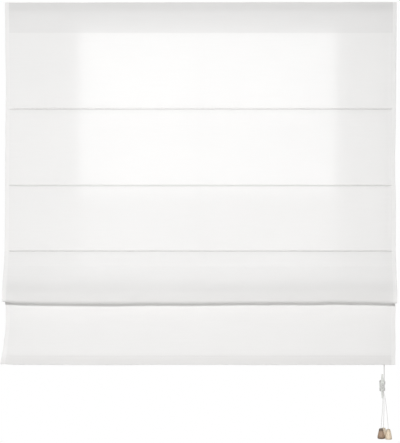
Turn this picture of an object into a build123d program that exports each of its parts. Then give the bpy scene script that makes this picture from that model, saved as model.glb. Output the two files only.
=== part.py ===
from build123d import *
import os

os.makedirs("parts", exist_ok=True)

# Frame: the blind is screwed on at the plane y = 0 and hangs in -Y, with +Z up. The origin is
# the middle of the line through the two bracket screw holes. All sizes are in millimetres.

# Running and seating clearances
SEAT_GAP = 0.3
SPIN_GAP = 0.05
PIN_GAP = 0.02

# Brackets, folded from steel strip
STRIP = 1.5
BRACKET_WIDTH = 26.0
BRACKET_SPACING = 1000.0
BRACKET_LEG = 9.0
BRACKET_BEND = 1.6
BRACKET_LEDGE = 7.5
SCREW_HOLE_RADIUS = 2.5

# The blind's width, and how far the cloth covers the headrail's ends
CLOTH_WIDTH = 1500.0
RAIL_INSET = 5.0

# Headrail, an extruded channel that is open below
RAIL_LENGTH = CLOTH_WIDTH - 2 * RAIL_INSET
RAIL_DEPTH = 32.0
RAIL_HEIGHT = 30.0
RAIL_WALL = 1.3
RAIL_SLOT = 20.0
RAIL_BOTTOM = 14.0
RAIL_STEP_HEIGHT = 4.6
RAIL_BACK = -(STRIP + SEAT_GAP)
RAIL_FRONT = RAIL_BACK - RAIL_DEPTH
RAIL_MIDDLE = RAIL_BACK - RAIL_DEPTH / 2
RAIL_TOP = RAIL_BOTTOM + RAIL_HEIGHT
RAIL_STEP = STRIP + SEAT_GAP
CAP_THICKNESS = 2.0
CAP_PLUG = 9.0
CAP_PLUG_WALL = 2.0

# Fastening tapes between the rail and the cloth
TAPE_THICKNESS = 1.1
TAPE_HEIGHT = 24.0
TAPE_END_GAP = 2.0
TAPE_RISE = 1.0
TAPE_BOTTOM = RAIL_BOTTOM + TAPE_RISE

# Cloth, rods and bottom bar
CLOTH = 0.7
TOP_COVER = 0.2
CLOTH_TOP = RAIL_TOP + STRIP + SEAT_GAP + TOP_COVER
HEADER_COVER = 3.0
HEADER_STEP = 0.75
SIDE_HEM = 15.0
ROD_DROPS = [408.0, 701.0, 952.5, 1072.5]
TAIL_DROP = 1388.0
ROD_RADIUS = 2.5
ROD_END_GAP = 10.0
TUCK_DEPTH = 2.5
TUCK_RADIUS = 1.0
SET_BACK = 3.0
FOLD_REACH = 50.0
FOLD_DROP = 197.5
FOLD_THICKNESS = 38.0
FOLD_SHOULDER = (0.27, 0.30)
FOLD_CHEST = 0.79
FOLD_SHOULDER_RADIUS = 60.0
FOLD_CHEST_RADIUS = 50.0
FOLD_NOSE_RADIUS = 16.0
TAIL_REACH = 16.0
TAIL_BEND_RADIUS = 200.0
TAIL_BEND_FIT = 0.9
HEADER_BEND_RADIUS = 50.0
HEM_HEIGHT = 32.0
HEM_SEAM = 4.0
HEM_CLOSE = 2.0
HEM_CORNER = 1.0
BAR_HEIGHT = 22.0
BAR_THICKNESS = 3.0
BAR_END_GAP = 10.0
BAR_LENGTH = CLOTH_WIDTH - 2 * (SIDE_HEM + BAR_END_GAP)

# Rings and cords
RING_TUBE = 0.9
RING_RADIUS = 6.6
CORD_RADIUS = 0.9
KNOT_RADIUS = 2.7
GUIDE_MARGIN = 150.0
GUIDE_XS = [GUIDE_MARGIN - CLOTH_WIDTH / 2, 0.0, CLOTH_WIDTH / 2 - GUIDE_MARGIN]
SIDES = ["left", "centre", "right"]

# Cord guides and outlet, with grooved rollers on axle pins
GROOVE_RADIUS = 4.0
ROLLER_RADIUS = 5.3
ROLLER_WIDTH = 4.6
GROOVE_WIDTH = 2.6
GROOVE_FLARE = 0.4
AXLE_RADIUS = 1.25
CHEEK = 2.0
GUIDE_LENGTH = 30.0
GUIDE_BASE = 2.0
GUIDE_SHOULDER = 2.0
CHEEK_LEAN = 2.0
SPOUT_CORNER = 3.0
RUN_HEIGHT = 30.0
RUN_STEP = 4.0
OUTLET_INSETS = [28.0, 40.0, 52.0]
OUTLET_XS = [RAIL_LENGTH / 2 - inset for inset in OUTLET_INSETS]
OUTLET_LENGTH = 46.0
OUTLET_MARGIN = 11.0
CORD_HOLE_RADIUS = 1.8
SPOUT_DROP = 2.0

# Cord cleat, with the cords wound on it in a figure of eight
CLEAT_INSET = 46.5
CLEAT_DROP = 84.5
CLEAT_X = RAIL_LENGTH / 2 - CLEAT_INSET
CLEAT_Z = CLOTH_TOP - TAIL_DROP - CLEAT_DROP
CLEAT_LENGTH = 94.0
CLEAT_FOOT_LENGTH = 40.0
CLEAT_FOOT_WIDTH = 16.0
CLEAT_FOOT_HEIGHT = 3.0
CLEAT_NECK_LENGTH = 26.0
CLEAT_NECK_WIDTH = 9.0
CLEAT_NECK_FLARE = 4.0
CLEAT_NECK_OVERLAP = 1.0
CLEAT_HORN_BACK = 14.0
CLEAT_HORN_HEIGHT = 6.0
CLEAT_HORN_WIDTH = 11.0
CLEAT_TIP_RADIUS = 2.5
CLEAT_TIP_RISE = 3.0
CLEAT_SCREW_SPACING = 16.0
CLEAT_SCREW_RADIUS = 1.75
CLEAT_SCREW_HEAD_RADIUS = 3.4
WINDING_WIDTH = 26.0
WINDING_BAND = 5.0
WINDING_BACK = (8.0, 21.5)
WINDING_FRONT = (25.0, -1.5)

# Where the three cords reach the winding and leave it, measured from the middle of the cleat
ARRIVAL_XS = [CLEAT_X + 10.2, CLEAT_X + 8.0, CLEAT_X + 5.8]
ARRIVAL_DEPTH = 10.0
ARRIVAL_RISE = 16.5
LEAVE_XS = [CLEAT_X + 3.0, CLEAT_X + 6.0, CLEAT_X + 9.0]
LEAVE_DEPTH = 22.5
LEAVE_DROP = 1.0

# Turned wooden cord pulls
PULL_HEIGHT = 38.0
PULL_BASE_RADIUS = 13.5
PULL_WAIST_RADIUS = 8.7
PULL_NECK_RADIUS = 7.5
PULL_FOOT = 0.22
PULL_WAIST = 0.72
PULL_RADII = [2.5, 9.0, 30.0, 3.0]
PULL_BORE = 1.6
PULL_KNOT_BORE = 3.6
PULL_KNOT_DEPTH = 7.0
PULL_KNOT_RADIUS = 2.9
PULL_LEAD = 8.0
PULL_BEND_RADIUS = 60.0
PULL_SPOTS = [
    (CLEAT_X - 9.0, -37.8, CLEAT_Z - 158.5),
    (CLEAT_X + 5.0, -14.6, CLEAT_Z - 161.0),
    (CLEAT_X + 19.0, -37.8, CLEAT_Z - 161.0),
]

# Values that follow from the sizes above
TAPE_FRONT = RAIL_FRONT - 2 * TAPE_THICKNESS
TAPE_LENGTH = CLOTH_WIDTH - 2 * (SIDE_HEM + TAPE_END_GAP)
TUNNEL_INNER = ROD_RADIUS + SEAT_GAP
TUNNEL_OUTER = TUNNEL_INNER + CLOTH
ROD_ZS = [CLOTH_TOP - drop for drop in ROD_DROPS]
TAIL_Z = CLOTH_TOP - TAIL_DROP
TOP_Y = TAPE_FRONT - CLOTH / 2
CLOTH_YS = [TOP_Y + HEADER_STEP + SET_BACK * i for i in range(len(ROD_ZS))]
ROD_YS = [y + TUCK_DEPTH + TUNNEL_INNER + CLOTH / 2 for y in CLOTH_YS]
ROD_LENGTH = CLOTH_WIDTH - 2 * (SIDE_HEM + ROD_END_GAP)
RING_YS = [y + TUNNEL_OUTER + SEAT_GAP + RING_RADIUS + RING_TUBE for y in ROD_YS]
CORD_Y = (RING_YS[0] + RING_YS[-1]) / 2
TURN_RADIUS = GROOVE_RADIUS + SEAT_GAP + CORD_RADIUS
OUTLET_HEIGHTS = [RUN_HEIGHT + RUN_STEP * i for i in (2, 1, 0)]
LIP_TOP = RAIL_BOTTOM + RAIL_WALL
EXIT_Z = RAIL_BOTTOM - SPOUT_DROP - SEAT_GAP


def save(piece, name):
    piece.part.label = name
    export_step(piece.part, f"parts/{name}.step")


def half(length):
    return length / 2


# Headrail: a channel with a stepped front edge for the bracket lips and an open slot below
def rail_outline():
    return [
        (RAIL_BACK, RAIL_BOTTOM),
        (RAIL_FRONT, RAIL_BOTTOM),
        (RAIL_FRONT, RAIL_TOP - RAIL_STEP_HEIGHT),
        (RAIL_FRONT + RAIL_STEP, RAIL_TOP - RAIL_STEP_HEIGHT),
        (RAIL_FRONT + RAIL_STEP, RAIL_TOP),
        (RAIL_BACK, RAIL_TOP),
    ]


with BuildPart() as headrail:
    with BuildSketch(Plane.YZ):
        with BuildLine():
            Polyline(*rail_outline(), close=True)
        make_face()
        offset(amount=-RAIL_WALL, kind=Kind.INTERSECTION, mode=Mode.SUBTRACT)
        with Locations((RAIL_MIDDLE, RAIL_BOTTOM + RAIL_WALL / 2)):
            Rectangle(RAIL_SLOT, 2 * RAIL_WALL, mode=Mode.SUBTRACT)
    extrude(amount=half(RAIL_LENGTH), both=True)
save(headrail, "headrail")


# End caps: a plate over the rail's end, with an open plug inside the channel
for side, name in ((-1, "end_cap_left"), (1, "end_cap_right")):
    with BuildPart() as end_cap:
        with BuildSketch(Plane.YZ.offset(side * half(RAIL_LENGTH))):
            with BuildLine():
                Polyline(*rail_outline(), close=True)
            make_face()
        extrude(amount=side * CAP_THICKNESS)
        with BuildSketch(Plane.YZ.offset(side * half(RAIL_LENGTH))):
            with BuildLine():
                Polyline(*rail_outline(), close=True)
            make_face()
            offset(amount=-(RAIL_WALL + SEAT_GAP), kind=Kind.INTERSECTION, mode=Mode.REPLACE)
            offset(amount=-CAP_PLUG_WALL, kind=Kind.INTERSECTION, mode=Mode.SUBTRACT)
        extrude(amount=-side * CAP_PLUG)
        outer_face = end_cap.faces().sort_by(Axis.X)[-1 if side > 0 else 0]
        fillet(outer_face.edges(), CAP_THICKNESS / 4)
    save(end_cap, name)


# Brackets: strip folded over the rail, with a ledge under it and a screw leg below
for side, name in ((-1, "bracket_left"), (1, "bracket_right")):
    bracket_x = side * half(BRACKET_SPACING)
    arm_z = RAIL_TOP + SEAT_GAP + STRIP / 2
    with BuildPart() as bracket:
        with BuildSketch(Plane.YZ.offset(bracket_x - half(BRACKET_WIDTH))):
            with BuildLine() as fold_line:
                FilletPolyline(
                    (-STRIP / 2, -BRACKET_LEG),
                    (-STRIP / 2, arm_z),
                    (RAIL_FRONT + STRIP / 2, arm_z),
                    (RAIL_FRONT + STRIP / 2, RAIL_TOP - RAIL_STEP_HEIGHT + 2 * SEAT_GAP),
                    radius=BRACKET_BEND,
                )
            trace(line_width=STRIP)
            with Locations((-BRACKET_LEDGE / 2, RAIL_BOTTOM - SEAT_GAP - STRIP / 2)):
                Rectangle(BRACKET_LEDGE, STRIP)
        extrude(amount=BRACKET_WIDTH)
        with BuildSketch(Plane.XZ):
            with Locations((bracket_x, 0)):
                Circle(SCREW_HOLE_RADIUS)
        extrude(amount=2 * STRIP, mode=Mode.SUBTRACT)
        leg_corners = bracket.edges().filter_by(Axis.Y).group_by(Axis.Z)[0]
        fillet(leg_corners, BRACKET_WIDTH / 6)
    save(bracket, name)


# Fastening tapes: hook tape on the rail's front, loop tape on the back of the cloth
for name, tape_back in (("hook_tape", RAIL_FRONT), ("loop_tape", RAIL_FRONT - TAPE_THICKNESS)):
    with BuildPart() as tape:
        with BuildSketch(Plane.XZ.offset(-tape_back)):
            with Locations((0, TAPE_BOTTOM + TAPE_HEIGHT / 2)):
                Rectangle(TAPE_LENGTH, TAPE_HEIGHT)
        extrude(amount=TAPE_THICKNESS)
    save(tape, name)


# Cord gear: a base that sits on the rail's lips, a spout through the slot and two cheeks that
# hold an axle pin for each roller
def gear_body(left, right, wheels, holes):
    middle = (left + right) / 2
    length = right - left
    inner_depth = RAIL_DEPTH - 2 * (RAIL_WALL + SEAT_GAP)
    cheek_top = max(z for x, z in wheels) + 2 * AXLE_RADIUS
    with BuildPart() as body:
        with BuildSketch(Plane.XY.offset(LIP_TOP)):
            with Locations((middle, RAIL_MIDDLE)):
                RectangleRounded(length, inner_depth, GUIDE_SHOULDER)
        extrude(amount=GUIDE_BASE)
        with BuildSketch(Plane.XY.offset(RAIL_BOTTOM - SPOUT_DROP)):
            with Locations((middle, RAIL_MIDDLE)):
                RectangleRounded(length - 2 * GUIDE_SHOULDER, RAIL_SLOT - 2 * SEAT_GAP, SPOUT_CORNER)
        extrude(amount=SPOUT_DROP + RAIL_WALL)
        for cheek_y in (CORD_Y - half(ROLLER_WIDTH) - SEAT_GAP, CORD_Y + half(ROLLER_WIDTH) + SEAT_GAP + CHEEK):
            with BuildSketch(Plane.XZ.offset(-cheek_y)):
                with BuildLine():
                    Polyline(
                        (left + GUIDE_SHOULDER, LIP_TOP + GUIDE_BASE),
                        (right - GUIDE_SHOULDER, LIP_TOP + GUIDE_BASE),
                        (right - GUIDE_SHOULDER - CHEEK_LEAN, cheek_top),
                        (left + GUIDE_SHOULDER + CHEEK_LEAN, cheek_top),
                        close=True,
                    )
                make_face()
            extrude(amount=CHEEK)
        with BuildSketch(Plane.XZ):
            with Locations(*wheels):
                Circle(AXLE_RADIUS + PIN_GAP)
        extrude(amount=RAIL_DEPTH, mode=Mode.SUBTRACT)
        with BuildSketch(Plane.XY.offset(RAIL_BOTTOM - SPOUT_DROP)):
            with Locations(*[(x, CORD_Y) for x in holes]):
                Circle(CORD_HOLE_RADIUS)
        extrude(amount=SPOUT_DROP + RAIL_WALL + GUIDE_BASE, mode=Mode.SUBTRACT)
    return body


def roller_at(x, z):
    with BuildPart() as roller:
        with BuildSketch(Plane.XY):
            with BuildLine():
                Polyline(
                    (AXLE_RADIUS + SPIN_GAP, -half(ROLLER_WIDTH)),
                    (ROLLER_RADIUS, -half(ROLLER_WIDTH)),
                    (ROLLER_RADIUS, -half(GROOVE_WIDTH) - GROOVE_FLARE),
                    (GROOVE_RADIUS, -half(GROOVE_WIDTH)),
                    (GROOVE_RADIUS, half(GROOVE_WIDTH)),
                    (ROLLER_RADIUS, half(GROOVE_WIDTH) + GROOVE_FLARE),
                    (ROLLER_RADIUS, half(ROLLER_WIDTH)),
                    (AXLE_RADIUS + SPIN_GAP, half(ROLLER_WIDTH)),
                    close=True,
                )
            make_face()
        revolve(axis=Axis.Y)
    roller.part = roller.part.moved(Location((x, CORD_Y, z)))
    return roller


def axle_at(x, z):
    cheeks = half(ROLLER_WIDTH) + SEAT_GAP + CHEEK
    with BuildPart() as axle:
        with BuildSketch(Plane.XZ.offset(-(CORD_Y + cheeks))):
            with Locations((x, z)):
                Circle(AXLE_RADIUS)
        extrude(amount=2 * cheeks)
        chamfer(axle.edges(), AXLE_RADIUS / 5)
    return axle


for side, guide_x in zip(SIDES, GUIDE_XS):
    wheel = (guide_x + TURN_RADIUS, RUN_HEIGHT - TURN_RADIUS)
    guide_left = wheel[0] - half(GUIDE_LENGTH)
    save(gear_body(guide_left, guide_left + GUIDE_LENGTH, [wheel], [guide_x]), f"cord_guide_{side}")
    save(roller_at(*wheel), f"guide_roller_{side}")
    save(axle_at(*wheel), f"guide_axle_{side}")

outlet_wheels = [(x - TURN_RADIUS, z - TURN_RADIUS) for x, z in zip(OUTLET_XS, OUTLET_HEIGHTS)]
outlet_right = max(OUTLET_XS) + OUTLET_MARGIN
save(gear_body(outlet_right - OUTLET_LENGTH, outlet_right, outlet_wheels, OUTLET_XS), "cord_outlet")
for side, wheel in zip(SIDES, outlet_wheels):
    save(roller_at(*wheel), f"outlet_roller_{side}")
    save(axle_at(*wheel), f"outlet_axle_{side}")


# Rods, and the rings sewn to the back of each pocket. The lowest rings stand a little to one
# side of their cords, because each cord is tied round the wire of its ring.
KNOT_SHIFT = (RING_RADIUS**2 - (RING_YS[-1] - CORD_Y) ** 2) ** 0.5
for number, (rod_y, rod_z, ring_y) in enumerate(zip(ROD_YS, ROD_ZS, RING_YS), start=1):
    with BuildPart() as rod:
        with BuildSketch(Plane.YZ.offset(-half(ROD_LENGTH))):
            with Locations((rod_y, rod_z)):
                Circle(ROD_RADIUS)
        extrude(amount=ROD_LENGTH)
        chamfer(rod.edges(), ROD_RADIUS / 5)
    save(rod, f"rod_{number}")
    ring_shift = KNOT_SHIFT if number == len(ROD_ZS) else 0
    for side, guide_x in zip(SIDES, GUIDE_XS):
        with BuildPart() as ring:
            with Locations((guide_x - ring_shift, ring_y, rod_z)):
                Torus(RING_RADIUS, RING_TUBE)
        save(ring, f"ring_{number}_{side}")


# Cord knots: each hugs the wire of a lowest ring
for side, guide_x in zip(SIDES, GUIDE_XS):
    with BuildPart() as knot:
        with Locations((guide_x, CORD_Y, ROD_ZS[-1])):
            Sphere(KNOT_RADIUS)
        with Locations((guide_x - KNOT_SHIFT, RING_YS[-1], ROD_ZS[-1])):
            Torus(RING_RADIUS, RING_TUBE + SPIN_GAP, mode=Mode.SUBTRACT)
    save(knot, f"cord_knot_{side}")


# Lift cords: from the knot up through the rings, over the guide roller, along the rail and
# over the outlet roller
def cord_tube(points, radii):
    with BuildPart() as cord:
        with BuildLine() as route:
            FilletPolyline(*points, radius=radii)
        with BuildSketch(Plane(origin=route.line @ 0, z_dir=route.line % 0)):
            Circle(CORD_RADIUS)
        sweep()
    return cord


for side, guide_x, outlet_x, run_z in zip(SIDES, GUIDE_XS, OUTLET_XS, OUTLET_HEIGHTS):
    lift_points = [
        (guide_x, CORD_Y, ROD_ZS[-1] + KNOT_RADIUS + SPIN_GAP),
        (guide_x, CORD_Y, RUN_HEIGHT),
        (outlet_x, CORD_Y, run_z),
        (outlet_x, CORD_Y, EXIT_Z),
    ]
    save(cord_tube(lift_points, TURN_RADIUS), f"lift_cord_{side}")


# Cloth: one sewn sheet in section. Each rod pocket is a tuck, two layers sewn together behind
# the face and a tunnel round the rod. The fourth panel is folded forward, and the tail ends in
# a pocket for the bottom bar.
def layer(points, radii, thickness=CLOTH):
    with BuildLine(mode=Mode.PRIVATE) as path:
        FilletPolyline(*points, radius=radii)
    trace(path.line, line_width=thickness)


hem_y = CLOTH_YS[-1] - TAIL_REACH
hem_bottom = TAIL_Z + CLOTH / 2
hem_depth = BAR_THICKNESS + 2 * SEAT_GAP + CLOTH
half_cloth = CLOTH / 2
tuck_ends = [y + TUCK_DEPTH for y in CLOTH_YS]
fold_front = CLOTH_YS[2] - FOLD_REACH
fold_bottom = ROD_ZS[2] - FOLD_DROP + half_cloth
fold_points = [
    (tuck_ends[2], ROD_ZS[2] - half_cloth),
    (CLOTH_YS[2], ROD_ZS[2] - half_cloth),
    (CLOTH_YS[2] - FOLD_SHOULDER[0] * FOLD_REACH, ROD_ZS[2] - FOLD_SHOULDER[1] * FOLD_DROP),
    (fold_front, ROD_ZS[2] - FOLD_CHEST * FOLD_DROP),
    (fold_front, fold_bottom),
    (fold_front + FOLD_THICKNESS, fold_bottom),
    (CLOTH_YS[3] - TUCK_DEPTH, ROD_ZS[3] + half_cloth),
    (tuck_ends[3], ROD_ZS[3] + half_cloth),
]
fold_radii = [TUCK_RADIUS, FOLD_SHOULDER_RADIUS, FOLD_CHEST_RADIUS]
fold_radii += [FOLD_NOSE_RADIUS, FOLD_NOSE_RADIUS, TUCK_RADIUS]
tail_middle = (ROD_ZS[3] + TAIL_Z) / 2
tail_slope_foot = TAIL_Z + 2 * HEM_HEIGHT
tail_slope = tail_middle - tail_slope_foot
tail_bend = min(TAIL_BEND_RADIUS, TAIL_BEND_FIT * tail_slope**2 / TAIL_REACH)
tail_points = [
    (tuck_ends[3], ROD_ZS[3] - half_cloth),
    (CLOTH_YS[3], ROD_ZS[3] - half_cloth),
    (CLOTH_YS[3], tail_middle),
    (hem_y, tail_slope_foot),
    (hem_y, hem_bottom),
    (hem_y + hem_depth, hem_bottom),
    (hem_y + hem_depth, hem_bottom + HEM_HEIGHT - HEM_SEAM),
    (hem_y + CLOTH, hem_bottom + HEM_HEIGHT + HEM_CLOSE),
]
tail_radii = [TUCK_RADIUS, tail_bend, tail_bend]
tail_radii += [HEM_CORNER, HEM_CORNER, 2 * HEM_CORNER]
header_bottom = TAPE_BOTTOM - HEADER_COVER

# The side hems are turned over the ends of the pockets, so their section has no tucks
hem_above_points = [(TOP_Y, CLOTH_TOP), (TOP_Y, header_bottom)]
hem_above_points += list(zip(CLOTH_YS[:3], ROD_ZS[:3]))
hem_above_points += fold_points[2:6]
hem_above_points += [(CLOTH_YS[3] - TUCK_DEPTH, ROD_ZS[3] + half_cloth)]
hem_above_points += [(CLOTH_YS[3] + half_cloth, ROD_ZS[3] + half_cloth)]
hem_above_radii = [HEADER_BEND_RADIUS] * 4 + fold_radii[1:]
hem_below_points = [(CLOTH_YS[3], ROD_ZS[3] + CLOTH)] + tail_points[2:5]
hem_below_radii = tail_radii[1:3]

with BuildPart() as fabric:
    with BuildSketch(Plane.YZ.offset(-half(CLOTH_WIDTH) + SIDE_HEM)):
        for i in range(3):
            end = [(CLOTH_YS[i], ROD_ZS[i] + half_cloth), (tuck_ends[i], ROD_ZS[i] + half_cloth)]
            if i == 0:
                layer([(TOP_Y, CLOTH_TOP), (TOP_Y, header_bottom)] + end, [HEADER_BEND_RADIUS, TUCK_RADIUS])
            else:
                above = [(tuck_ends[i - 1], ROD_ZS[i - 1] - half_cloth)]
                above.append((CLOTH_YS[i - 1], ROD_ZS[i - 1] - half_cloth))
                layer(above + end, TUCK_RADIUS)
        layer(fold_points, fold_radii)
        layer(tail_points, tail_radii)
        with Locations(*zip(ROD_YS, ROD_ZS)):
            Circle(TUNNEL_OUTER)
            Circle(TUNNEL_INNER, mode=Mode.SUBTRACT)
    extrude(amount=CLOTH_WIDTH - 2 * SIDE_HEM)
    for hem_start in (-half(CLOTH_WIDTH), half(CLOTH_WIDTH) - SIDE_HEM):
        with BuildSketch(Plane.YZ.offset(hem_start)):
            layer(hem_above_points, hem_above_radii, 2 * CLOTH)
            layer(hem_below_points, hem_below_radii, 2 * CLOTH)
        extrude(amount=SIDE_HEM)
save(fabric, "fabric")


# Bottom bar: a flat bar with rounded edges in the hem pocket
with BuildPart() as bottom_bar:
    with BuildSketch(Plane.YZ.offset(-half(BAR_LENGTH))):
        with Locations((hem_y + hem_depth / 2, hem_bottom + half_cloth + SEAT_GAP + BAR_HEIGHT / 2)):
            RectangleRounded(BAR_THICKNESS, BAR_HEIGHT, BAR_THICKNESS / 3)
    extrude(amount=BAR_LENGTH)
save(bottom_bar, "bottom_bar")


# Cleat: a flat foot, a neck and two horns, with two screw holes through the neck
horn_front = CLEAT_HORN_BACK + CLEAT_HORN_HEIGHT
flared_length = CLEAT_NECK_LENGTH + CLEAT_NECK_FLARE
flared_width = CLEAT_NECK_WIDTH + CLEAT_NECK_FLARE
with BuildPart() as cleat:
    with BuildSketch(Plane.XZ):
        with Locations((CLEAT_X, CLEAT_Z)):
            SlotOverall(CLEAT_FOOT_LENGTH, CLEAT_FOOT_WIDTH, rotation=90)
    extrude(amount=CLEAT_FOOT_HEIGHT)
    with BuildSketch(Plane.XZ.offset(CLEAT_FOOT_HEIGHT)):
        with Locations((CLEAT_X, CLEAT_Z)):
            SlotOverall(flared_length, flared_width, rotation=90)
    with BuildSketch(Plane.XZ.offset(half(CLEAT_HORN_BACK))):
        with Locations((CLEAT_X, CLEAT_Z)):
            SlotOverall(CLEAT_NECK_LENGTH, CLEAT_NECK_WIDTH, rotation=90)
    loft()
    with BuildSketch(Plane.XZ.offset(half(CLEAT_HORN_BACK))):
        with Locations((CLEAT_X, CLEAT_Z)):
            SlotOverall(CLEAT_NECK_LENGTH, CLEAT_NECK_WIDTH, rotation=90)
    extrude(amount=half(CLEAT_HORN_BACK) + CLEAT_NECK_OVERLAP)

# Horns: the side view, bowed forward from the foot, crossed with the front view, a long lens
tip_z = half(CLEAT_LENGTH)
with BuildPart() as horns:
    with BuildSketch(Plane.YZ.offset(CLEAT_X - CLEAT_HORN_WIDTH)):
        with BuildLine():
            ThreePointArc(
                (-CLEAT_HORN_BACK - CLEAT_TIP_RISE, CLEAT_Z - tip_z),
                (-CLEAT_HORN_BACK, CLEAT_Z),
                (-CLEAT_HORN_BACK - CLEAT_TIP_RISE, CLEAT_Z + tip_z),
            )
            ThreePointArc(
                (-horn_front - CLEAT_TIP_RISE / 2, CLEAT_Z - tip_z),
                (-horn_front, CLEAT_Z),
                (-horn_front - CLEAT_TIP_RISE / 2, CLEAT_Z + tip_z),
            )
            Line(
                (-CLEAT_HORN_BACK - CLEAT_TIP_RISE, CLEAT_Z - tip_z),
                (-horn_front - CLEAT_TIP_RISE / 2, CLEAT_Z - tip_z),
            )
            Line(
                (-CLEAT_HORN_BACK - CLEAT_TIP_RISE, CLEAT_Z + tip_z),
                (-horn_front - CLEAT_TIP_RISE / 2, CLEAT_Z + tip_z),
            )
        make_face()
    extrude(amount=2 * CLEAT_HORN_WIDTH)
    with BuildSketch(Plane.XZ):
        with BuildLine():
            for side in (-1, 1):
                ThreePointArc(
                    (CLEAT_X + side * CLEAT_TIP_RADIUS, CLEAT_Z - tip_z + CLEAT_TIP_RADIUS),
                    (CLEAT_X + side * half(CLEAT_HORN_WIDTH), CLEAT_Z),
                    (CLEAT_X + side * CLEAT_TIP_RADIUS, CLEAT_Z + tip_z - CLEAT_TIP_RADIUS),
                )
            for end in (-1, 1):
                ThreePointArc(
                    (CLEAT_X - CLEAT_TIP_RADIUS, CLEAT_Z + end * (tip_z - CLEAT_TIP_RADIUS)),
                    (CLEAT_X, CLEAT_Z + end * tip_z),
                    (CLEAT_X + CLEAT_TIP_RADIUS, CLEAT_Z + end * (tip_z - CLEAT_TIP_RADIUS)),
                )
        make_face()
    extrude(amount=2 * horn_front, mode=Mode.INTERSECT)
    fillet(horns.edges().filter_by(lambda edge: edge.length > CLEAT_HORN_WIDTH), CLEAT_HORN_HEIGHT / 4)

with BuildPart() as finished_cleat:
    add(cleat.part)
    add(horns.part)
    with Locations(Plane.XZ.offset(horn_front)):
        with Locations(*[(CLEAT_X, CLEAT_Z + end * half(CLEAT_SCREW_SPACING)) for end in (-1, 1)]):
            CounterSinkHole(CLEAT_SCREW_RADIUS, CLEAT_SCREW_HEAD_RADIUS, depth=horn_front)
save(finished_cleat, "cleat")


# Cords wound on the cleat: two leaning loops that cross in front of the neck, one round each
# horn, as one solid of the outer shape of the winding
with BuildPart() as cord_winding:
    for end in (-1, 1):
        back = Vector(CLEAT_X, -WINDING_BACK[0], CLEAT_Z + end * WINDING_BACK[1])
        front = Vector(CLEAT_X, -WINDING_FRONT[0], CLEAT_Z + end * WINDING_FRONT[1])
        lean = (front - back).normalized()
        loop_plane = Plane(origin=(back + front) / 2, x_dir=(1, 0, 0), z_dir=Vector(1, 0, 0).cross(lean))
        loop_length = (front - back).length + WINDING_BAND
        with BuildSketch(loop_plane):
            Ellipse(half(WINDING_WIDTH), half(loop_length))
            Ellipse(half(WINDING_WIDTH) - WINDING_BAND, half(loop_length) - WINDING_BAND, mode=Mode.SUBTRACT)
        extrude(amount=half(WINDING_BAND), both=True)
save(cord_winding, "cord_winding")


# Pull cords: tight from the outlet down to the winding, and from the winding to the pulls
for side, outlet_x, arrival_x in zip(SIDES, OUTLET_XS, ARRIVAL_XS):
    taut_points = [
        (outlet_x, CORD_Y, EXIT_Z - SPIN_GAP),
        (arrival_x, -ARRIVAL_DEPTH, CLEAT_Z + ARRIVAL_RISE),
    ]
    with BuildPart() as pull_cord:
        with BuildLine() as route:
            Line(*taut_points)
        with BuildSketch(Plane(origin=route.line @ 0, z_dir=route.line % 0)):
            Circle(CORD_RADIUS)
        sweep()
    save(pull_cord, f"pull_cord_{side}")

for side, leave_x, spot in zip(SIDES, LEAVE_XS, PULL_SPOTS):
    pull_x, pull_y, pull_top = spot
    ceiling = pull_top - PULL_HEIGHT + PULL_KNOT_DEPTH
    knot_z = ceiling - SEAT_GAP - PULL_KNOT_RADIUS
    end_points = [
        (leave_x, -LEAVE_DEPTH, CLEAT_Z - LEAVE_DROP),
        (pull_x, pull_y, pull_top + PULL_LEAD),
        (pull_x, pull_y, knot_z),
    ]
    with BuildPart() as cord_end:
        with BuildLine() as route:
            FilletPolyline(*end_points, radius=PULL_BEND_RADIUS)
        with BuildSketch(Plane(origin=route.line @ 0, z_dir=route.line % 0)):
            Circle(CORD_RADIUS)
        sweep()
        with Locations((pull_x, pull_y, knot_z)):
            Sphere(PULL_KNOT_RADIUS)
    save(cord_end, f"cord_end_{side}")

    # Cord pull: a turned bell with a rounded neck and foot, bored for the cord and its knot
    with BuildPart() as cord_pull:
        with BuildSketch(Plane.XZ):
            with BuildLine():
                FilletPolyline(
                    (PULL_KNOT_BORE, 0),
                    (PULL_BASE_RADIUS, 0),
                    (PULL_BASE_RADIUS, PULL_HEIGHT * PULL_FOOT),
                    (PULL_WAIST_RADIUS, PULL_HEIGHT * PULL_WAIST),
                    (PULL_NECK_RADIUS, PULL_HEIGHT),
                    (PULL_BORE, PULL_HEIGHT),
                    radius=PULL_RADII,
                )
                Polyline(
                    (PULL_BORE, PULL_HEIGHT),
                    (PULL_BORE, PULL_KNOT_DEPTH),
                    (PULL_KNOT_BORE, PULL_KNOT_DEPTH),
                    (PULL_KNOT_BORE, 0),
                )
            make_face()
        revolve(axis=Axis.Z)
    cord_pull.part = cord_pull.part.moved(Location((pull_x, pull_y, pull_top - PULL_HEIGHT)))
    save(cord_pull, f"cord_pull_{side}")
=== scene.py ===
import bmesh
import bpy
import math
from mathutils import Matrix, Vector, noise


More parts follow.
